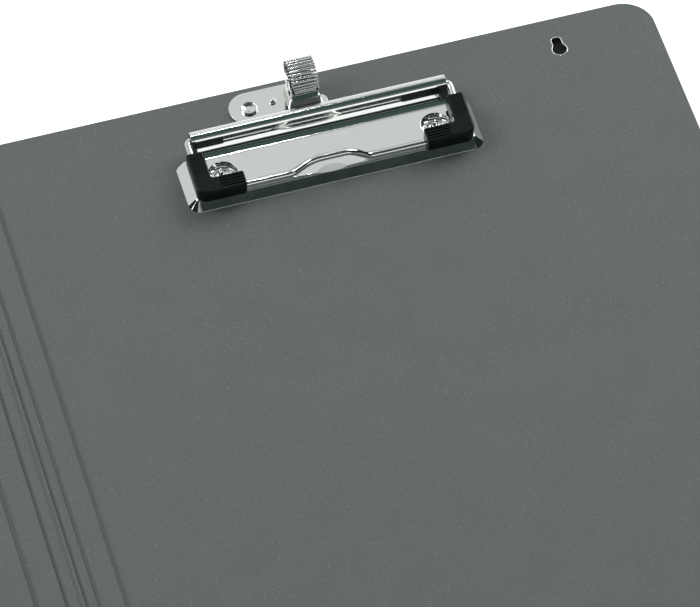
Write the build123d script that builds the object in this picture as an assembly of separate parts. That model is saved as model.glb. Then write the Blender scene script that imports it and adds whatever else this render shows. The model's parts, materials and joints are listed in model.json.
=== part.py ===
from build123d import *
import math
import os

# A4 clipboard folder, lying open: a creased polypropylene sheet, a wire clip and a spring pen loop.
# Millimetres. X runs from the front cover to the back board, Y towards the clip, Z up from the table.
# The origin is under the middle of the open sheet.

# Sheet
sheet_height = 335.0
sheet_thickness = 1.6
board_width = 230.0
cover_width = 230.0
corner_radius = 11.0
sheet_edge_round = 0.3

# Spine strips, in order from the back board to the front cover
strip_widths = (8.5, 3.7, 6.0, 9.0)
outer_fold = 60.0
inner_fold = 20.0
crease_clearance = 0.06
crease_tip_gap = 0.10

# Pressed lines that run beside two of the creases, measured from the crease
score_width = 0.6
score_depth = 0.5
score_offsets = {1: 1.2, 2: 2.2}

# Clip, measured from the first crease and down from the board's top edge
clip_centre = 109.8
clip_front = 47.6
clip_flange_rear = 27.4
clip_width = 100.8
plate_thickness = 0.7
plate_height = 3.0
flange_run = 3.0
flange_corner = 4.0
flange_rear_corner = 1.2
flange_bend_round = 1.2
spine_slit = 0.4

# Curled spine of the clip
spine_end_gap = 0.1
spine_foot_round = 3.3
spine_foot_turn = 45.0
spine_sway_round = 8.0
spine_slope = 66.0
spine_axis = 22.1
spine_crest = 9.3
curl_room = 0.6
curl_sweep = 270.0

# Thumb scoop pressed into the plate's front edge; it and the bail's arch sit off the clip's middle
grip_shift = -1.5
scoop_start = 42.0
scoop_depth = 0.8
scoop_radius = 45.0

# Bail wire
wire_diameter = 2.4
wire_forward = 0.4
wire_lowered = 0.35
wire_span = 90.0
wire_rear_bend = 1.6
wire_front_bend = 2.6
wire_end_gap = 8.0
rail_front = 43.4
rail_rest_gap = 0.05
arch_width = 25.8
arch_top_width = 13.0
arch_rise = 5.3
arch_foot_round = 5.0
arch_top_round = 9.0

# Corner caps
cap_leg_width = 5.8
cap_leg_length = 16.6
cap_inset = 0.6
cap_top = 4.4
cap_lift = 0.35
cap_outer_round = 3.2
cap_inner_round = 0.8
cap_edge_round = 0.6
groove_count = 4
groove_pitch = 1.1
groove_width = 0.5
groove_depth = 0.4
groove_length = 8.5

# Clip rivets and the dimples that they sit in
rivet_spacing = 72.8
rivet_row = 35.8
dimple_top_radius = 5.0
dimple_floor_radius = 3.7
rivet_shank_radius = 1.6
rivet_bore_radius = 1.05
rivet_rim_radius = 3.3
rivet_rim_height = 0.8
rivet_head_radius = 3.6
rivet_head_thickness = 0.5
rivet_hole_clearance = 0.05
petal_count = 6
petal_gap = 0.35

# Pen holder plate, measured from the first crease and down from the board's top edge
pen_rivet_x = 89.4
pen_rivet_y = 9.75
pen_plate_y = 9.3
pen_plate_radius = 6.7
pen_plate_thickness = 0.8
pen_plate_right = 111.4
pen_plate_corner = 3.0
tail_right = 115.6
tail_top = 10.3
tail_corner = 2.4
pen_rim_radius = 2.85
pen_rim_height = 0.9
pen_dish_radius = 2.1
pen_dish_floor_radius = 1.1
pen_dish_floor = 0.15
pen_shank_radius = 1.9
pin_offset = (8.3, 0.8)
pin_ball_radius = 1.17
pin_ball_rise = 0.15
pin_shank_radius = 0.7
pin_depth = 1.0

# Pen loop
loop_centre = 107.8
loop_row = 9.8
loop_width = 10.9
loop_foot_width = 8.6
loop_narrowing = 3.0
loop_foot_spacing = 4.6
loop_radius = 5.0
loop_lean = 0.85
loop_wire = 0.58
loop_turns = 24
loop_turn_radius = 0.7
loop_crest = 16.9
bracket_base = (11.7, 9.2)
bracket_top = (10.3, 8.2)
bracket_height = 3.4
bracket_corner = 1.2
bracket_wall = 0.7
bracket_round = 0.5
ferrule_wall = 0.35
ferrule_lengths = {-1: 4.6, 1: 2.4}
ferrule_floor = 1.0
ferrule_clearance = 0.12

# Hanging hole, measured from the first crease and down from the board's top edge
hang_inset = 34.1
hang_y = 13.8
hang_radius = 2.45
hang_notch_width = 3.2
hang_notch_top = 5.2
hang_notch_round = 1.1
hang_lining_wall = 0.3

# Places that follow from the sizes above
spine_width = sum(strip_widths)
board_start = spine_width / 2
top_edge = sheet_height / 2
inner_face = sheet_thickness
wire_radius = wire_diameter / 2
spine_length = wire_span - wire_diameter - 2 * spine_end_gap
curl_inner = wire_radius + curl_room
curl_outer = curl_inner + plate_thickness
clip_x = board_start + clip_centre
axis_y = top_edge - spine_axis - wire_forward
axis_z = inner_face + spine_crest - curl_outer - wire_lowered
rivet_places = [(clip_x + side * rivet_spacing / 2, top_edge - rivet_row) for side in (-1, 1)]
pen_rivet_place = (board_start + pen_rivet_x, top_edge - pen_rivet_y)
pin_place = (pen_rivet_place[0] + pin_offset[0], pen_rivet_place[1] + pin_offset[1])
pen_plate_top = inner_face + pen_plate_thickness
hang_place = (board_start + board_width - hang_inset, top_edge - hang_y)


def half_groove(fold):
    """Half the width of a crease that closes when its panels have turned by fold degrees."""
    return sheet_thickness * math.tan(math.radians(fold / 2)) + crease_clearance


def box_between(low, high):
    """A block from its lowest to its highest corner."""
    size = [b - a for a, b in zip(low, high)]
    middle = [(a + b) / 2 for a, b in zip(low, high)]
    return Pos(*middle) * Box(*size)


def panel(left, right, left_fold=None, right_fold=None):
    """A panel of the sheet, with a sloped side and a thin tip at each crease."""
    tip = crease_tip_gap / 2
    low_left = left if left_fold is None else left + tip
    low_right = right if right_fold is None else right - tip
    top_left = left if left_fold is None else left + half_groove(left_fold)
    top_right = right if right_fold is None else right - half_groove(right_fold)
    outline = Polygon(
        (low_left, 0),
        (low_right, 0),
        (top_right, sheet_thickness),
        (top_left, sheet_thickness),
        align=None,
    )
    body = extrude(Plane.XZ * outline, amount=sheet_height / 2, both=True)
    free = [e for e in body.edges().filter_by(Axis.Z) if abs(e.center().X) > spine_width]
    if free:
        body = fillet(free, corner_radius)
    rim = body.faces().sort_by(Axis.Z)[-1].edges()
    return fillet(rim, sheet_edge_round)


def score_line(x):
    """The cutter of a shallow pressed line along the sheet."""
    outline = Polygon(
        (x - score_width / 2, sheet_thickness + 0.01),
        (x, sheet_thickness - score_depth),
        (x + score_width / 2, sheet_thickness + 0.01),
        align=None,
    )
    return extrude(Plane.XZ * outline, amount=sheet_height, both=True)


def upright_hole(place, radius, low, high):
    """The cutter of a round hole from one height to another."""
    return Pos(place[0], place[1], (low + high) / 2) * Cylinder(radius, high - low)


def keyhole(margin):
    """The hanging hole's outline, made wider all round by a margin."""
    circle = Circle(hang_radius + margin)
    notch_half = hang_notch_width / 2 + margin
    notch = Pos(0, (hang_notch_top + margin) / 2) * Rectangle(2 * notch_half, hang_notch_top + margin)
    top_corners = notch.vertices().sort_by(Axis.Y)[-2:]
    notch = fillet(top_corners, hang_notch_round + margin)
    return Pos(*hang_place) * (circle + notch)


# The creased sheet

def crease_places():
    """X of each crease, from the back board to the front cover."""
    places = [board_start]
    for width in strip_widths:
        places.append(places[-1] - width)
    return places


def make_back_board():
    body = panel(board_start, board_start + board_width, left_fold=outer_fold)
    below = -1.0
    above = sheet_thickness + 1.0
    for place in rivet_places:
        body -= upright_hole(place, rivet_shank_radius + rivet_hole_clearance, below, above)
        body -= upright_hole(place, rivet_head_radius + rivet_hole_clearance, below, rivet_head_thickness)
    body -= upright_hole(pen_rivet_place, pen_shank_radius + rivet_hole_clearance, below, above)
    body -= upright_hole(pen_rivet_place, rivet_head_radius + rivet_hole_clearance, below, rivet_head_thickness)
    body -= upright_hole(pin_place, pin_shank_radius, sheet_thickness - pin_depth, above)
    body -= extrude(Pos(0, 0, below) * keyhole(hang_lining_wall), amount=above - below)
    return body


def make_spine_strips():
    """One strip between each pair of neighbouring creases."""
    places = crease_places()
    folds = [outer_fold] + [inner_fold] * (len(places) - 2) + [outer_fold]
    strips = []
    for index in range(len(strip_widths)):
        right = places[index]
        left = places[index + 1]
        strip = panel(left, right, left_fold=folds[index + 1], right_fold=folds[index])
        if index in score_offsets:
            strip -= score_line(right - score_offsets[index])
        strips.append(strip)
    return strips


def make_front_cover():
    return panel(-board_start - cover_width, -board_start, right_fold=outer_fold)


# The clip's base plate, in its own frame: X from the clip's middle, Y from the board's top edge, Z from the sheet

def flange_prism(shrink, height):
    """The flanged front part as a solid, with sides that slope inwards."""
    slope = math.degrees(math.atan(flange_run / plate_height))
    half = clip_width / 2 - shrink
    front = -clip_front + shrink
    outline = Pos(0, (front - spine_axis / 2) / 2) * Rectangle(2 * half, -spine_axis / 2 - front)
    outline = fillet(outline.vertices(), flange_corner - shrink)
    return extrude(outline, amount=height, taper=slope)


def scoop(lowered):
    """The cutter of the thumb scoop: a wide cylinder that dips towards the front."""
    run = clip_front - scoop_start
    dip = math.degrees(math.atan(scoop_depth / run))
    length = 4 * run
    tool = Rot(90, 0, 0) * Cylinder(scoop_radius, length)
    tool = Rot(dip, 0, 0) * (Pos(0, 0, scoop_radius) * tool)
    return Pos(grip_shift, -scoop_start, plate_height - lowered) * tool


def turned(centre, radius, angle):
    """The point of a circle whose normal leans forward by an angle, counted from straight down."""
    lean = math.radians(angle)
    return centre + Vector(math.sin(lean), -math.cos(lean)) * radius


def spine_centres():
    """Centres of the spine's foot, sway and curl, placed so that the slope runs into the curl without a kink."""
    curl = Vector(-spine_axis, spine_crest - curl_outer)
    foot = Vector(0, plate_height + spine_foot_round)
    sway = turned(foot, spine_foot_round - spine_sway_round, spine_foot_turn)
    slope_end = turned(sway, spine_sway_round, spine_slope)
    curl_start = turned(curl, -curl_outer, spine_slope)
    shift = curl_start - slope_end
    shift = shift.X - shift.Y / math.tan(math.radians(spine_slope))
    return foot + Vector(shift, 0), sway + Vector(shift, 0), curl


def spine_profile():
    """Section of the curled spine: foot, sway, slope and curl, with the sheet's thickness."""
    foot, sway, curl = spine_centres()

    def side(inset):
        level = plate_height - inset
        foot_arc = CenterArc(foot, spine_foot_round + inset, -90, spine_foot_turn)
        sway_arc = CenterArc(sway, spine_sway_round + inset, -90 + spine_foot_turn, spine_slope - spine_foot_turn)
        curl_arc = CenterArc(curl, curl_outer - inset, 90 + spine_slope, -curl_sweep)
        flat = Line((foot.X - 1.0, level), foot_arc @ 0)
        return [flat, foot_arc, sway_arc, Line(sway_arc @ 1, curl_arc @ 0), curl_arc]

    upper = side(0)
    lower = side(plate_thickness)
    ends = [Line(upper[0] @ 0, lower[0] @ 0), Line(upper[-1] @ 1, lower[-1] @ 1)]
    return make_face(upper + lower + ends)


def dimple():
    """A pressed dish for a rivet, from the plate's top down to the sheet."""
    half_line = Polyline(
        (rivet_shank_radius, 0),
        (dimple_floor_radius - plate_thickness / 2, 0),
        (dimple_top_radius - plate_thickness / 2, plate_height - plate_thickness),
        (dimple_top_radius + plate_thickness, plate_height - plate_thickness),
        (dimple_top_radius + plate_thickness, plate_height),
        (dimple_top_radius, plate_height),
        (dimple_floor_radius, plate_thickness),
        (rivet_shank_radius, plate_thickness),
        close=True,
    )
    return revolve(Plane.XZ * make_face(half_line), Axis.Z)


def make_clip_base_plate():
    wall = plate_thickness * math.hypot(flange_run, plate_height) / plate_height
    outer = flange_prism(0, plate_height)
    outer = fillet(outer.faces().sort_by(Axis.Z)[-1].edges(), flange_bend_round)
    inner = flange_prism(wall, plate_height - plate_thickness)
    tray = (outer - scoop(0)) - (inner - scoop(plate_thickness))
    mask_low = -clip_front - 1
    mask = Pos(0, (mask_low - clip_flange_rear) / 2) * Rectangle(clip_width, -clip_flange_rear - mask_low)
    mask = fillet(mask.vertices().sort_by(Axis.Y)[-2:], flange_rear_corner)
    spine_foot = -spine_centres()[0].X
    mask -= Pos(0, -spine_foot / 2) * Rectangle(spine_length + 2 * spine_slit, spine_foot)
    tray &= extrude(mask, amount=plate_height + 1)
    plate = tray + extrude(Plane.YZ * spine_profile(), amount=spine_length / 2, both=True)
    for side in (-1, 1):
        seat = Pos(side * rivet_spacing / 2, -rivet_row, 0)
        plate -= seat * Pos(0, 0, plate_height / 2) * Cylinder(dimple_top_radius, plate_height + 1)
        plate += seat * dimple()
    return Pos(clip_x, top_edge, inner_face) * plate


# The bail, in the plane of its wire: X across, Y towards the back from the hinge axis, Z out of the plane

rail_drop = axis_z - inner_face - plate_height - wire_radius - rail_rest_gap
rail_run = rail_front - spine_axis - wire_forward
rail_reach = math.hypot(rail_run, rail_drop)
bail_tilt = math.atan2(rail_drop, rail_run)
bail_plane = Plane(
    origin=(clip_x, axis_y, axis_z),
    x_dir=(1, 0, 0),
    z_dir=(0, -math.sin(bail_tilt), math.cos(bail_tilt)),
)


def bail_wire():
    """The bail from one end inside the spine to the other."""
    half = wire_span / 2
    foot = arch_width / 2
    top = arch_top_width / 2
    across = ((-foot, 0), (-top, arch_rise), (top, arch_rise), (foot, 0))
    arch = [(grip_shift + x, -rail_reach, z) for x, z in across]
    right = [(half, -rail_reach, 0), (half, 0, 0), (wire_end_gap, 0, 0)]
    left = [(-x, y, z) for x, y, z in reversed(right)]
    bends = [arch_top_round, arch_foot_round, wire_front_bend, wire_rear_bend]
    path = FilletPolyline(*(left + arch + right), radius=bends[::-1] + bends)
    section = Plane(origin=path @ 0, z_dir=path % 0) * Circle(wire_radius)
    return sweep(section, path=path)


def corner_cap():
    """The right cap: an L that clips over the wire's front corner, open below."""
    half_leg = cap_leg_width / 2
    right = wire_span / 2 - cap_inset + half_leg
    front = -rail_reach - half_leg
    corner_points = [
        (right, front),
        (right, front + cap_leg_length),
        (right - cap_leg_width, front + cap_leg_length),
        (right - cap_leg_width, front + cap_leg_width),
        (right - cap_leg_length, front + cap_leg_width),
        (right - cap_leg_length, front),
    ]
    rounds = [cap_outer_round] + [cap_inner_round] * 5
    outline = make_face(FilletPolyline(*corner_points, radius=rounds, close=True))
    bottom = -wire_radius + cap_lift
    body = extrude(Pos(0, 0, bottom) * outline, amount=cap_top - bottom)
    body = fillet(body.faces().sort_by(Axis.Z)[-1].edges(), cap_edge_round)
    for index in range(groove_count):
        shift = (index - (groove_count - 1) / 2) * groove_pitch
        rib_x = right - half_leg + shift
        rib_y = -rail_reach + shift
        back = front + cap_leg_length
        end = right - cap_leg_length
        half = groove_width / 2
        floor = cap_top - groove_depth
        body -= box_between((rib_x - half, back - groove_length, floor), (rib_x + half, back + 1, cap_top + 1))
        body -= box_between((end - 1, rib_y - half, floor), (end + groove_length, rib_y + half, cap_top + 1))
    line = FilletPolyline(
        (wire_span / 2, 0),
        (wire_span / 2, -rail_reach),
        (0, -rail_reach),
        radius=wire_front_bend,
    )
    slot = trace(line, line_width=wire_diameter)
    body -= extrude(Pos(0, 0, -wire_diameter) * slot, amount=wire_diameter)
    tube_path = Wire(line.edges())
    tube = sweep(Plane(origin=tube_path @ 0, z_dir=tube_path % 0) * Circle(wire_radius), path=tube_path)
    return body - tube


# Rivets

def tubular_rivet(place, seat, shank, bore, rim):
    """A rivet with a flat head under the sheet and a rolled rim, split into petals, on its seat above."""
    crown = seat + rivet_rim_height
    floor = rivet_head_thickness + 0.3
    lines = [
        Line((0, 0), (rivet_head_radius, 0)),
        Line((rivet_head_radius, 0), (rivet_head_radius, rivet_head_thickness)),
        Line((rivet_head_radius, rivet_head_thickness), (shank, rivet_head_thickness)),
        Line((shank, rivet_head_thickness), (shank, seat)),
        Line((shank, seat), (rim, seat)),
        ThreePointArc((rim, seat), ((rim + bore) / 2 + 0.3, crown), (bore, seat + 0.1)),
        Line((bore, seat + 0.1), (bore, floor)),
        Line((bore, floor), (0, floor)),
        Line((0, floor), (0, 0)),
    ]
    body = revolve(Plane.XZ * make_face(lines), Axis.Z)
    low = (bore - 0.3, -petal_gap / 2, seat + 0.25)
    high = (rim - 0.8, petal_gap / 2, crown + 1)
    for spot in PolarLocations(0, petal_count):
        body -= spot * box_between(low, high)
    return Pos(place[0], place[1], 0) * body


def make_clip_rivets():
    seat = inner_face + plate_thickness
    rivets = [
        tubular_rivet(p, seat, rivet_shank_radius, rivet_bore_radius, rivet_rim_radius)
        for p in rivet_places
    ]
    return Compound(children=rivets)


def make_pen_holder_rivet():
    """A rivet with a flat head under the sheet and a raised dish above."""
    crown = pen_plate_top + pen_rim_height
    floor = pen_plate_top + pen_dish_floor
    middle = (pen_rim_radius + pen_dish_radius) / 2
    lines = [
        Line((0, 0), (rivet_head_radius, 0)),
        Line((rivet_head_radius, 0), (rivet_head_radius, rivet_head_thickness)),
        Line((rivet_head_radius, rivet_head_thickness), (pen_shank_radius, rivet_head_thickness)),
        Line((pen_shank_radius, rivet_head_thickness), (pen_shank_radius, pen_plate_top)),
        Line((pen_shank_radius, pen_plate_top), (pen_rim_radius, pen_plate_top)),
        Line((pen_rim_radius, pen_plate_top), (pen_rim_radius, crown - pen_rim_radius + middle)),
        ThreePointArc(
            (pen_rim_radius, crown - pen_rim_radius + middle),
            (middle, crown),
            (pen_dish_radius, crown - middle + pen_dish_radius),
        ),
        Line((pen_dish_radius, crown - middle + pen_dish_radius), (pen_dish_floor_radius, floor)),
        Line((pen_dish_floor_radius, floor), (0, floor)),
        Line((0, floor), (0, 0)),
    ]
    body = revolve(Plane.XZ * make_face(lines), Axis.Z)
    return Pos(pen_rivet_place[0], pen_rivet_place[1], 0) * body


def make_pen_holder_pin():
    """A small ball-headed pin through the plate into the sheet."""
    shank = pen_plate_thickness + pin_depth
    reach = 2 * pin_ball_radius
    ball = Pos(0, 0, pin_ball_rise) * Sphere(pin_ball_radius)
    ball = ball & (Pos(0, 0, reach) * Cylinder(reach, 2 * reach))
    pin = ball + Pos(0, 0, -shank / 2) * Cylinder(pin_shank_radius, shank)
    return Pos(pin_place[0], pin_place[1], pen_plate_top) * pin


# Pen holder

def make_pen_holder_plate():
    left = pen_rivet_x
    length = pen_plate_right - left
    main = Pos(left + length / 2, -pen_plate_y) * Rectangle(length, 2 * pen_plate_radius)
    main = fillet(main.vertices().sort_by(Axis.X)[-2:], pen_plate_corner)
    main += Pos(left, -pen_plate_y) * Circle(pen_plate_radius)
    tail_bottom = pen_plate_y + pen_plate_radius
    tail_start = pen_plate_right - 3 * pen_plate_corner
    tail = Pos((tail_start + tail_right) / 2, -(tail_top + tail_bottom) / 2)
    tail *= Rectangle(tail_right - tail_start, tail_bottom - tail_top)
    tail = fillet(tail.vertices().sort_by(Axis.X)[-2:], tail_corner)
    plate = extrude(Pos(board_start, top_edge, inner_face) * (main + tail), amount=pen_plate_thickness)
    above = pen_plate_top + 1
    plate -= upright_hole(pen_rivet_place, pen_shank_radius, 0, above)
    plate -= upright_hole(pin_place, pin_shank_radius, 0, above)
    return plate


loop_place = Pos(board_start + loop_centre, top_edge - loop_row, pen_plate_top)
coil_thickness = 2 * loop_turn_radius + loop_wire
coil_foot = ferrule_floor + ferrule_clearance
sleeve_margin = ferrule_clearance + ferrule_wall
loop_middle = Vector(loop_lean, loop_crest - pen_plate_thickness - coil_thickness / 2 - loop_radius)


def make_pen_loop_bracket():
    """A pressed foot, open below, with sides that slope inwards."""

    def foot(shrink, height):
        sizes = [tuple(size - 2 * shrink for size in pair) for pair in (bracket_base, bracket_top)]
        low, high = [RectangleRounded(*pair, bracket_corner - shrink) for pair in sizes]
        return loft([low, Pos(0, 0, height) * high])

    outer = foot(0, bracket_height)
    outer = fillet(outer.faces().sort_by(Axis.Z)[-1].edges(), bracket_round)
    return loop_place * (outer - foot(bracket_wall, bracket_height - bracket_wall))


def loop_leg(side):
    """The foot, the direction and the length of the straight leg that ends on the loop's circle."""
    foot = Vector(side * loop_foot_spacing / 2, bracket_height)
    reach = loop_middle - foot
    swing = -side * math.degrees(math.asin(loop_radius / reach.length))
    along = reach.normalized().rotate(Axis.Z, swing)
    return foot, along, math.sqrt(reach.length ** 2 - loop_radius ** 2)


def make_pen_loop_ferrules():
    """Two flat sleeves with a floor, which stand on the foot and lean with the loop's legs."""
    sleeves = []
    for side in (-1, 1):
        foot, along, _ = loop_leg(side)
        outer = RectangleRounded(
            loop_foot_width + 2 * sleeve_margin,
            coil_thickness + 2 * sleeve_margin,
            coil_thickness / 2,
        )
        pocket = offset(outer, amount=-ferrule_wall)
        length = ferrule_lengths[side]
        body = extrude(Pos(0, 0, -length) * outer, amount=2 * length)
        body -= extrude(Pos(0, 0, ferrule_floor) * pocket, amount=length)
        body = Pos(0, foot.X, foot.Y) * Rot(-math.degrees(math.atan2(along.X, along.Y)), 0, 0) * body
        body -= box_between((-bracket_base[0], -bracket_base[1], -length), (*bracket_base, bracket_height))
        sleeves.append(loop_place * body)
    return Compound(children=sleeves)


def loop_line():
    """The middle line of the coiled band: up from one ferrule, round the top and down into the other."""
    legs = []
    for side in (-1, 1):
        foot, along, length = loop_leg(side)
        legs.append((foot + along * coil_foot, foot + along * length))
    top = ThreePointArc(legs[0][1], loop_middle + Vector(0, loop_radius), legs[1][1])
    return Wire([Line(*legs[0]).edge(), top.edge(), Line(legs[1][1], legs[1][0]).edge()])


def biarc(start, start_dir, end, end_dir):
    """Two arcs that leave start and reach end in the given directions."""
    span = end - start
    both = start_dir + end_dir
    a = 2 * (start_dir.dot(end_dir) - 1)
    b = -2 * span.dot(both)
    c = span.dot(span)
    reach = (-b - math.sqrt(b * b - 4 * a * c)) / (2 * a)
    joint = (start + end + (start_dir - end_dir) * reach) * 0.5
    joint_dir = (joint - start - start_dir * reach).normalized()
    return [Edge.make_tangent_arc(start, start_dir, joint), Edge.make_tangent_arc(joint, joint_dir, end)]


def coil_corners():
    """The ends of the straight runs across the band, two runs to a turn, outside and inside the loop."""
    line = loop_line()
    sleeve_runs = [ferrule_lengths[side] - coil_foot for side in (-1, 1)]
    corners = []
    for run in range(2 * loop_turns):
        outward = 1 if run % 2 == 0 else -1
        across = 1 if run % 2 == 0 else -1
        ends = []
        for share in (-0.25, 0.25):
            way = (run + 0.5 + share) / (2 * loop_turns)
            point = line.position_at(way)
            along = line.tangent_at(way)
            normal = Vector(-along.Y, along.X) * outward * loop_turn_radius
            free = min(way * line.length - sleeve_runs[0], (1 - way) * line.length - sleeve_runs[1])
            spread = min(max(free / loop_narrowing, 0), 1)
            width = loop_foot_width + (loop_width - loop_foot_width) * spread
            half_run = width / 2 - loop_turn_radius - loop_wire / 2
            x = half_run * across * (-1 if share < 0 else 1)
            ends.append(Vector(x, point.X + normal.X, point.Y + normal.Y))
        corners.append(ends)
    return corners


def make_pen_loop_spring():
    corners = coil_corners()
    edges = []
    for index, (start, end) in enumerate(corners):
        edges.append(Edge.make_line(start, end))
        if index + 1 < len(corners):
            next_start, next_end = corners[index + 1]
            arcs = biarc(end, (end - start).normalized(), next_start, (next_end - next_start).normalized())
            edges.extend(arcs)
    path = Wire(edges)
    section = Plane(origin=path @ 0, z_dir=path % 0) * RegularPolygon(loop_wire / 2, 6)
    spring = sweep(section, path=path)
    report_coil_gap(edges)
    return loop_place * spring


def report_coil_gap(edges):
    """Print the least gap between runs of the coil that aren't neighbours along the wire."""
    points = []
    distance = 0.0
    for edge in edges:
        steps = max(2, int(edge.length / 0.15))
        for step in range(steps):
            points.append((distance + edge.length * step / steps, edge.position_at(step / steps)))
        distance += edge.length
    least = min(
        (p - q).length
        for i, (s, p) in enumerate(points)
        for t, q in points[i + 1:i + 400]
        if t - s > 4 * loop_wire
    )
    print("pen loop wire, length", round(distance, 1), "least gap to itself", round(least - loop_wire, 3))


def make_hang_hole_lining():
    ring = keyhole(hang_lining_wall) - keyhole(0)
    return extrude(ring, amount=sheet_thickness)


# Write the pieces

os.makedirs("parts", exist_ok=True)
parts = {
    "back_board": make_back_board(),
    "front_cover": make_front_cover(),
    "clip_base_plate": make_clip_base_plate(),
    "clip_bail_wire": bail_plane.location * bail_wire(),
    "corner_cap_right": bail_plane.location * corner_cap(),
    "corner_cap_left": bail_plane.location * mirror(corner_cap(), about=Plane.YZ),
    "clip_rivets": make_clip_rivets(),
    "pen_holder_plate": make_pen_holder_plate(),
    "pen_holder_rivet": make_pen_holder_rivet(),
    "pen_holder_pin": make_pen_holder_pin(),
    "pen_loop_bracket": make_pen_loop_bracket(),
    "pen_loop_ferrules": make_pen_loop_ferrules(),
    "pen_loop_spring": make_pen_loop_spring(),
    "hang_hole_lining": make_hang_hole_lining(),
}
for number, strip in enumerate(make_spine_strips(), start=1):
    parts["spine_strip_" + str(number)] = strip
for name, piece in parts.items():
    export_step(piece, "parts/" + name + ".step")
    print(name, round(piece.volume, 1))
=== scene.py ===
import json
from math import asin, atan2, cos, pi, radians, sin, sqrt, tan

import bmesh
import bpy
from mathutils import Matrix, Vector


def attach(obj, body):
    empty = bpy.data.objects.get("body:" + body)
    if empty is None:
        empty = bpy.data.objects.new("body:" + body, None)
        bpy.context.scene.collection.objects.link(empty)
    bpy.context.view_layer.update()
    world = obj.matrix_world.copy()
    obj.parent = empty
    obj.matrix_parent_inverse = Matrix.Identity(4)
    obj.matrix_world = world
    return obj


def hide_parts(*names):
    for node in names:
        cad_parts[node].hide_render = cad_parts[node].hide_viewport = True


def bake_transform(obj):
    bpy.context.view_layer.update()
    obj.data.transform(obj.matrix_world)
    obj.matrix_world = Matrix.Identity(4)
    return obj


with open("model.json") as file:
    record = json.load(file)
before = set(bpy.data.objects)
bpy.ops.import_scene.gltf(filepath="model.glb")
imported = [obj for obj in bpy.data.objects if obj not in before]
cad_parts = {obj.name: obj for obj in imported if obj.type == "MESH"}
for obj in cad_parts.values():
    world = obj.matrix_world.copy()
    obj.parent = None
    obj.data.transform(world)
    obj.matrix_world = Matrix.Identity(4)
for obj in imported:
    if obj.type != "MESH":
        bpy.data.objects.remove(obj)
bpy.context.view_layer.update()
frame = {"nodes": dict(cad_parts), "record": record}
nodes = frame["nodes"]
scene = bpy.context.scene
mm = 0.001

# Places that the pieces share, in metres

sheet_top = 1.6 * mm
sheet_half_height = 167.5 * mm
crease_places = {1: 13.6 * mm, 2: 5.1 * mm, 3: 1.4 * mm, 4: -4.6 * mm, 5: -13.6 * mm}
wide_groove = 0.95 * mm
narrow_groove = 0.33 * mm
wide_trough = 0.55 * mm
narrow_trough = 0.35 * mm
groove_foot = 0.04 * mm
filling_end_gap = 0.02 * mm
filling_bottom = 0.02 * mm
filling_top = sheet_top - 0.03 * mm
filling_facets = 5

# Score lines: the piece that fills each, the body it rides on and its place along X

scores = (
    ("spine_score_2", "strip_2", 3.9 * mm),
    ("spine_score_3", "strip_3", -0.8 * mm),
)
score_half_width = 0.28 * mm
score_bottom = sheet_top - 0.47 * mm
score_trough = 0.03 * mm

# Painted shade along the creases, darker lines that stand in for the shade in the folded grooves: middle
# along X, half width and strength

painted_crease_shade_lines = (
    (-13.8 * mm, 0.85 * mm, 0.95),
    (-4.7 * mm, 0.65 * mm, 0.95),
    (-0.5 * mm, 0.55 * mm, 0.6),
    (1.3 * mm, 0.55 * mm, 0.9),
    (4.6 * mm, 0.28 * mm, 0.8),
    (5.5 * mm, 0.28 * mm, 0.75),
    (13.45 * mm, 0.7 * mm, 0.95),
)

# Pen loop: its foot on the plate, the circle of its top and the legs that run up to it

loop_x = 121.4 * mm
loop_foot = Vector((157.7, 2.4)) * mm
loop_leg_spacing = 4.6 * mm
loop_leg_base = 3.4 * mm
loop_middle = loop_foot + Vector((0.85, 10.11)) * mm
loop_radius = 5.0 * mm
coil_start = 1.12 * mm
coil_turns = 24
coil_width = 10.9 * mm
coil_foot_width = 8.6 * mm
coil_wire_radius = 0.45 * mm
coil_half_depth = 0.515 * mm
coil_wire_sides = 12
coil_bend_steps = 8
coil_first_turns = 3.5 * mm
coil_last_turns = 1.3 * mm
coil_narrowing = 4 * mm
weld_distance = 0.01 * mm

# Camera

look_at = Vector((112.51, 69.42, 1.6)) * mm
camera_distance = 1.933
camera_turn = radians(-14.72)
camera_tilt = radians(38.59)
camera_roll = radians(-1.62)
lens = bpy.data.cameras.new("camera")
lens.sensor_fit = "HORIZONTAL"
lens.sensor_width = 36
lens.lens = 307.85
lens.clip_start = 0.01
lens.clip_end = 20
camera = bpy.data.objects.new("camera", lens)
scene.collection.objects.link(camera)
camera.matrix_world = (
    Matrix.Translation(look_at)
    @ Matrix.Rotation(camera_turn, 4, "Z")
    @ Matrix.Rotation(camera_tilt, 4, "X")
    @ Matrix.Rotation(camera_roll, 4, "Z")
    @ Matrix.Translation((0, 0, camera_distance))
)
scene.camera = camera
scene.view_settings.view_transform = "Standard"


# Materials

class Value:
    """A value in a material's nodes: an expression on it adds the Math nodes that work it out."""

    def __init__(self, finish, socket):
        self.finish = finish
        self.socket = socket

    def work(self, operation, *terms):
        return self.finish.node("Math", {"operation": operation}, dict(enumerate(terms)))

    def __add__(self, other):
        return self.work("ADD", self, other)

    def __sub__(self, other):
        return self.work("SUBTRACT", self, other)

    def __rsub__(self, other):
        return self.work("SUBTRACT", other, self)

    def __mul__(self, other):
        return self.work("MULTIPLY", self, other)

    __radd__ = __add__
    __rmul__ = __mul__

    def away_from(self, place):
        """How far off a place it is, whichever side."""
        return self.finish.node("Math", {"operation": "ABSOLUTE"}, {0: self - place})

    def between(self, low, high):
        """0 below low, 1 above high and a smooth rise from one to the other."""
        settings = {"interpolation_type": "SMOOTHSTEP"}
        return self.finish.node("MapRange", settings, {"Value": self, "From Min": low, "From Max": high})


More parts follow.
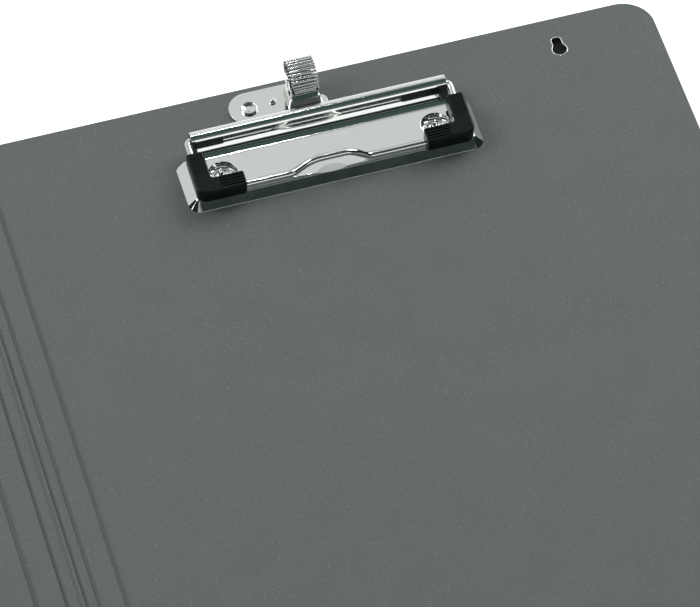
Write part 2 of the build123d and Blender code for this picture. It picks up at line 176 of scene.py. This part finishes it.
class Finish:
    """A material, built node by node."""

    def __init__(self, name):
        self.material = bpy.data.materials.new(name)
        self.material.use_nodes = True
        self.tree = self.material.node_tree
        self.shader = self.tree.nodes["Principled BSDF"]
        self.place = self.node("TexCoord", output="Object")

    def node(self, kind, settings=None, sockets=None, output=0):
        """Add a node: its settings first, then a value or a link for each socket."""
        node = self.tree.nodes.new("ShaderNode" + kind)
        for name, value in (settings or {}).items():
            setattr(node, name, value)
        for name, value in (sockets or {}).items():
            self.feed(node.inputs[name], value)
        return Value(self, node.outputs[output])

    def feed(self, socket, value):
        if isinstance(value, Value):
            self.tree.links.new(value.socket, socket)
        else:
            socket.default_value = value

    def set(self, **values):
        """Feed the shader's own sockets; an underscore stands for a space."""
        for name, value in values.items():
            self.feed(self.shader.inputs[name.replace("_", " ")], value)

    def stretched(self, scale):
        """The place on the object, scaled along each axis."""
        return self.node("Mapping", None, {"Vector": self.place, "Scale": scale})

    def along(self, axis):
        """The place on the object along one axis: 0 for X, 1 for Y and 2 for Z."""
        return self.node("SeparateXYZ", None, {"Vector": self.place}, axis)

    def noise(self, scale, detail=2.0, place=None, roughness=0.5):
        sockets = {"Vector": place or self.place, "Scale": scale, "Detail": detail, "Roughness": roughness}
        return self.node("TexNoise", None, sockets)

    def mix(self, share, first, second):
        """One colour over another."""
        return self.node("Mix", {"data_type": "RGBA"}, {0: share, 6: first, 7: second}, 2)

    def bump(self, height, distance, strength=1.0, over=None):
        """The surface raised by a height, over another normal where one is given."""
        sockets = {"Height": height, "Distance": distance, "Strength": strength}
        if over:
            sockets["Normal"] = over
        return self.node("Bump", None, sockets)


def speckled_sheet():
    """Grey polypropylene: a fine matt grain, scattered light flecks and painted shade along its creases.
    """
    grey = (0.139, 0.152, 0.154, 1)
    light_grey = (0.147, 0.160, 0.162, 1)
    grain_grey = (0.19, 0.205, 0.205, 1)
    fleck_grey = (0.38, 0.40, 0.39, 1)
    # The colour of the painted shade along the creases
    crease_shade_grey = (0.104, 0.114, 0.116, 1)
    finish = Finish("speckled_sheet")
    cells = finish.node("TexVoronoi", None, {"Vector": finish.place, "Scale": 950.0})
    choice = finish.noise(700.0, 0.0)
    flecks = (1 - cells.between(0.12, 0.30)) * choice.between(0.50, 0.66)
    cloud = finish.noise(60.0, 3.0)
    fine = finish.noise(1100.0, 3.0, roughness=0.7)
    tone = finish.mix(cloud.between(0.3, 0.7), grey, light_grey)
    tone = finish.mix(fine.between(0.40, 0.75) * 0.5, tone, grain_grey)
    tone = finish.mix(flecks * 0.45, tone, fleck_grey)
    # Painted shade: the sheet is darkened in bands along the creases, where the grooves' shade falls
    across = finish.along(0)
    painted_crease_shade = 0
    for middle, half_width, strength in painted_crease_shade_lines:
        off = across.away_from(middle)
        painted_crease_shade = painted_crease_shade + (1 - off.between(0.6 * half_width, 1.3 * half_width)) * strength
    tone = finish.mix(painted_crease_shade, tone, crease_shade_grey)
    finish.set(Base_Color=tone, Roughness=0.5 + 0.12 * fine, Specular_IOR_Level=0.35)
    finish.set(Normal=finish.bump(fine, 0.00004, 0.5))
    return finish


def plated(name, roughness, grain):
    """Bright nickel plate on steel, with fine rolling marks and a slight haze."""
    nickel = (0.71, 0.725, 0.705, 1)
    light_nickel = (0.75, 0.765, 0.745, 1)
    finish = Finish(name)
    lines = finish.noise(1.0, 3.0, finish.stretched((300.0, 6000.0, 6000.0)))
    haze = finish.noise(180.0, 3.0)
    tone = finish.mix(haze, nickel, light_nickel)
    finish.set(Base_Color=tone, Metallic=1.0, Roughness=roughness + 0.04 * haze)
    finish.set(Normal=finish.bump(lines, grain, 0.3))
    return finish


def pressed_plate():
    """The clip's plate: nickel plate with the soft edges and the slight bow that pressing leaves."""
    finish = plated("nickel_plate", 0.05, 0.0000015)
    bow_foot = 7.9 * mm
    bow_top = 9.9 * mm
    bow = finish.bump(1 - finish.along(2).between(bow_foot, bow_top), 0.05 * mm)
    edge = finish.node("Bevel", {"samples": 8}, {"Radius": 0.22 * mm, "Normal": bow})
    finish.set(Normal=finish.bump(finish.noise(900.0), 0.0000008, over=edge))
    return finish


def moulded_black():
    """Semi-gloss black plastic with a faint moulded texture."""
    green_black = (0.004, 0.0085, 0.0075, 1)
    finish = Finish("moulded_black")
    grain = finish.noise(2500.0, 2.0)
    finish.set(Base_Color=green_black, Roughness=0.13 + 0.08 * grain, Specular_IOR_Level=0.22)
    finish.set(Normal=finish.bump(grain, 0.00002, 0.3))
    return finish


sheet_finish = speckled_sheet()
plate_finish = pressed_plate()
wire_finish = plated("nickel_wire", 0.05, 0.0000004)
cap_finish = moulded_black()
finishes = {
    "sheet": sheet_finish,
    "nickel_plate": plate_finish,
    "nickel_wire": wire_finish,
    "black_plastic": cap_finish,
}


def paint(piece, finish):
    if piece.data.materials:
        for place in piece.material_slots:
            place.material = finish.material
    else:
        piece.data.materials.append(finish.material)


for subpart in frame["record"]["subparts"]:
    paint(nodes[subpart["node"]], finishes[subpart["material_slot"]])


# Pieces

def new_piece(name, slot):
    """Name the piece that has just been made and give it its finish."""
    piece = bpy.context.object
    piece.name = name
    piece.data.name = name
    paint(piece, finishes[slot])
    return piece


def select_where(piece, wanted):
    """In edit mode, select the vertices whose place passes the test and no others."""
    bpy.ops.mesh.select_mode(type="VERT")
    bpy.ops.mesh.select_all(action="DESELECT")
    mesh = bmesh.from_edit_mesh(piece.data)
    for vertex in mesh.verts:
        vertex.select = wanted(vertex.co)
    mesh.select_flush(True)
    bmesh.update_edit_mesh(piece.data)


def groove_filling(name, fold_x, half_width, bottom, trough):
    """A strip of sheet along Y that fills a groove from its bottom up to a shallow rounded trough."""
    bpy.ops.object.select_all(action="DESELECT")
    bpy.ops.mesh.primitive_plane_add(size=1, location=(fold_x, 0, bottom))
    filling = new_piece(name, "sheet")
    filling.scale = (2 * groove_foot, 2 * (sheet_half_height - filling_end_gap), 1)
    bpy.ops.object.transform_apply(location=True, rotation=False, scale=True)
    bpy.ops.object.mode_set(mode="EDIT")
    bpy.ops.mesh.select_all(action="SELECT")
    bpy.ops.mesh.extrude_region_move(TRANSFORM_OT_translate={"value": (0, 0, filling_top - bottom)})
    widening = half_width / groove_foot
    bpy.ops.transform.resize(value=(widening, 1, 1), center_override=(fold_x, 0, filling_top))
    for step in range(1 - filling_facets, filling_facets):
        share = step / filling_facets
        place = fold_x + share * half_width
        bpy.ops.mesh.select_all(action="SELECT")
        bpy.ops.mesh.bisect(plane_co=(place, 0, 0), plane_no=(1, 0, 0))
        cut_edge = Vector((place, 0, filling_top))
        select_where(filling, lambda at: (Vector((at.x, 0, at.z)) - cut_edge).length < 0.001 * mm)
        bpy.ops.transform.translate(value=(0, 0, -trough * (1 - share ** 2)))
    bpy.ops.mesh.select_all(action="SELECT")
    bpy.ops.mesh.normals_make_consistent(inside=False)
    bpy.ops.object.mode_set(mode="OBJECT")
    bpy.ops.object.shade_smooth_by_angle(angle=radians(40))
    return filling


def loop_route():
    """The coil's middle line, as places along Y and Z, and its length."""
    legs = []
    for side in (-1, 1):
        foot = loop_foot + Vector((side * loop_leg_spacing / 2, loop_leg_base))
        reach = loop_middle - foot
        swing = side * asin(loop_radius / reach.length)
        along = reach.normalized()
        along.rotate(Matrix.Rotation(-swing, 2))
        length = sqrt(reach.length ** 2 - loop_radius ** 2)
        legs.append((foot + along * coil_start, foot + along * length))
    first, last = [end - loop_middle for start, end in legs]
    turn_start = atan2(first.y, first.x) % (2 * pi)
    turn_end = atan2(last.y, last.x)
    steps = 72
    places = [legs[0][0]]
    for step in range(steps + 1):
        angle = turn_start + (turn_end - turn_start) * step / steps
        places.append(loop_middle + Vector((cos(angle), sin(angle))) * loop_radius)
    places.append(legs[1][0])
    length = sum((b - a).length for a, b in zip(places, places[1:]))
    return places, length


def pen_loop_coil():
    """The flattened coil of the pen loop: one turn, repeated along a line, then bent round to the loop."""
    places, length = loop_route()
    pitch = length / coil_turns
    half_run = coil_width / 2 - coil_half_depth - coil_wire_radius
    bpy.ops.object.select_all(action="DESELECT")
    start = (0, coil_half_depth, -half_run)
    bpy.ops.mesh.primitive_circle_add(vertices=coil_wire_sides, radius=coil_wire_radius, location=start)
    coil = new_piece("pen_loop_coil", "nickel_wire")
    bpy.ops.object.transform_apply(location=True, rotation=False, scale=False)
    bpy.ops.object.mode_set(mode="EDIT")
    bpy.ops.mesh.select_all(action="SELECT")
    bpy.ops.mesh.extrude_region_move(TRANSFORM_OT_translate={"value": (0, 0, 2 * half_run)})
    bpy.ops.mesh.spin(steps=coil_bend_steps, angle=pi, center=(0, 0, half_run), axis=(1, 0, 0))
    bpy.ops.mesh.extrude_region_move(TRANSFORM_OT_translate={"value": (pitch, 0, -2 * half_run)})
    bpy.ops.mesh.spin(steps=coil_bend_steps, angle=pi, center=(pitch, 0, -half_run), axis=(1, 0, 0))
    bpy.ops.object.mode_set(mode="OBJECT")
    row = coil.modifiers.new("turns", "ARRAY")
    row.count = coil_turns
    row.use_relative_offset = False
    row.use_constant_offset = True
    row.constant_offset_displace = (pitch, 0, 0)
    row.use_merge_vertices = True
    row.merge_threshold = weld_distance
    bpy.ops.object.modifier_apply(modifier="turns")
    bpy.ops.object.mode_set(mode="EDIT")
    for low, high in ((-length, coil_first_turns), (length - coil_last_turns, 2 * length)):
        select_where(coil, lambda at: low < at.x < high)
        bpy.ops.transform.resize(
            value=(1, 1, coil_foot_width / coil_width),
            center_override=(0, 0, 0),
            use_proportional_edit=True,
            proportional_edit_falloff="SMOOTH",
            proportional_size=coil_narrowing,
        )
    bpy.ops.mesh.select_all(action="SELECT")
    bpy.ops.mesh.fill_holes(sides=coil_wire_sides)
    bpy.ops.mesh.normals_make_consistent(inside=False)
    bpy.ops.object.mode_set(mode="OBJECT")
    guide_line = bpy.data.curves.new("loop_guide", "CURVE")
    guide_line.dimensions = "3D"
    guide_line.twist_mode = "Z_UP"
    spline = guide_line.splines.new("POLY")
    spline.points.add(len(places) - 1)
    for point, place in zip(spline.points, places):
        point.co = (place.x, place.y, 0, 1)
    guide = bpy.data.objects.new("loop_guide", guide_line)
    scene.collection.objects.link(guide)
    bend = coil.modifiers.new("loop", "CURVE")
    bend.object = guide
    bend.deform_axis = "POS_X"
    bpy.ops.object.modifier_apply(modifier="loop")
    bpy.data.objects.remove(guide)
    coil.rotation_euler = (pi / 2, 0, pi / 2)
    coil.location = (loop_x, 0, 0)
    bpy.ops.object.transform_apply(location=True, rotation=True, scale=False)
    bpy.ops.object.shade_smooth()
    even = coil.modifiers.new("even", "WEIGHTED_NORMAL")
    even.mode = "FACE_AREA"
    even.weight = 80
    bpy.ops.object.modifier_apply(modifier="even")
    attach(coil, "board")
    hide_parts("pen_loop_spring")


for number, fold_x in crease_places.items():
    outer = number in (1, 5)
    half_width = wide_groove if outer else narrow_groove
    trough = wide_trough if outer else narrow_trough
    web = groove_filling(f"crease_web_{number}", fold_x, half_width, filling_bottom, trough)
    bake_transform(web)
for name, body, place in scores:
    score = groove_filling(name, place, score_half_width, score_bottom, score_trough)
    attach(score, body)
pen_loop_coil()


# Studio

clip_middle = Vector((123, 130, 0)) * mm
light_distance = 1.8
key_size = (1.0, 1.0)
key_radiance = 3.8
spark_size = (0.07, 0.07)
floor_drop = 0.2 * mm
shade_drop = 0.1 * mm
hole_x = 209.5 * mm
hole_y = 153.7 * mm
shade_radius = 7 * mm


def studio_light(name, towards, size, radiance, tint=(1, 1, 1)):
    """A soft box that shines at the clip: where it is as seen from there, its sizes and its brightness."""
    lamp = bpy.data.lights.new(name, "AREA")
    lamp.shape = "RECTANGLE"
    lamp.size = size[0]
    lamp.size_y = size[1]
    lamp.energy = radiance * pi * size[0] * size[1]
    lamp.color = tint
    light = bpy.data.objects.new(name, lamp)
    scene.collection.objects.link(light)
    way = Vector(towards).normalized()
    light.location = clip_middle + way * light_distance
    light.rotation_euler = way.to_track_quat("Z", "Y").to_euler()


def from_zenith(degrees, sideways=0.0):
    """A direction turned from straight up towards the front, and then sideways."""
    return (sin(radians(sideways)), -sin(radians(degrees)), cos(radians(degrees)))


def bank(name, first, last, width, radiance, sideways=0.0, tint=(1, 1, 1)):
    """A soft box that fills the sky between two angles from straight up, counted towards the front."""
    depth = 2 * light_distance * tan(radians((last - first) / 2))
    towards = from_zenith((first + last) / 2, sideways)
    studio_light(name, towards, (width, depth), radiance, tint)


bank("back_bank", -96, -33, 5.0, 0.76)
bank("back_bank_crown", -55, -33, 3.0, 0.24, sideways=47)
bank("back_fade_low", -33, -20, 3.0, 0.55)
bank("back_fade_high", -20, -9, 3.0, 0.22)
bank("ceiling", -9, 36, 3.0, 0.07, tint=(0.65, 1.0, 0.9))
bank("front_strip", 44, 50, 2.0, 0.42)
bank("low_front", 63, 82, 2.4, 1.25)
studio_light("right_key", (0.69, 0.43, 0.59), key_size, key_radiance)
studio_light("left_key", (-0.72, 0.20, 0.66), key_size, key_radiance)
studio_light("spark", (0.13, 0.30, 0.95), spark_size, 40.0)
world = bpy.data.worlds.new("studio")
world.use_nodes = True
world.node_tree.nodes["Background"].inputs["Color"].default_value = (0.5, 1.0, 0.85, 1)
world.node_tree.nodes["Background"].inputs["Strength"].default_value = 0.025
scene.world = world

bpy.ops.mesh.primitive_plane_add(size=1, location=(0, 0, -floor_drop))
floor = bpy.context.object
floor.name = "floor"
floor.scale = (8, 8, 1)
floor_finish = Finish("white_floor")
floor_finish.set(Base_Color=(0.9, 0.9, 0.9, 1), Roughness=0.9)
floor_finish.set(Emission_Color=(1, 1, 1, 1), Emission_Strength=0.8)
paint(floor, floor_finish)

# Painted shade: a dark disc on the floor under the hanging hole, standing in for the shade that the hole
# lies in

bpy.ops.object.select_all(action="DESELECT")
shade_place = (hole_x, hole_y, -shade_drop)
bpy.ops.mesh.primitive_circle_add(vertices=48, radius=shade_radius, fill_type="NGON", location=shade_place)
shade = bpy.context.object
shade.name = "hole_shade"
# The disc's near-black colour is painted shade, not the floor's own colour
shade_finish = Finish("painted_hole_shade")
shade_finish.set(Base_Color=(0.01, 0.012, 0.012, 1), Roughness=0.9)
paint(shade, shade_finish)
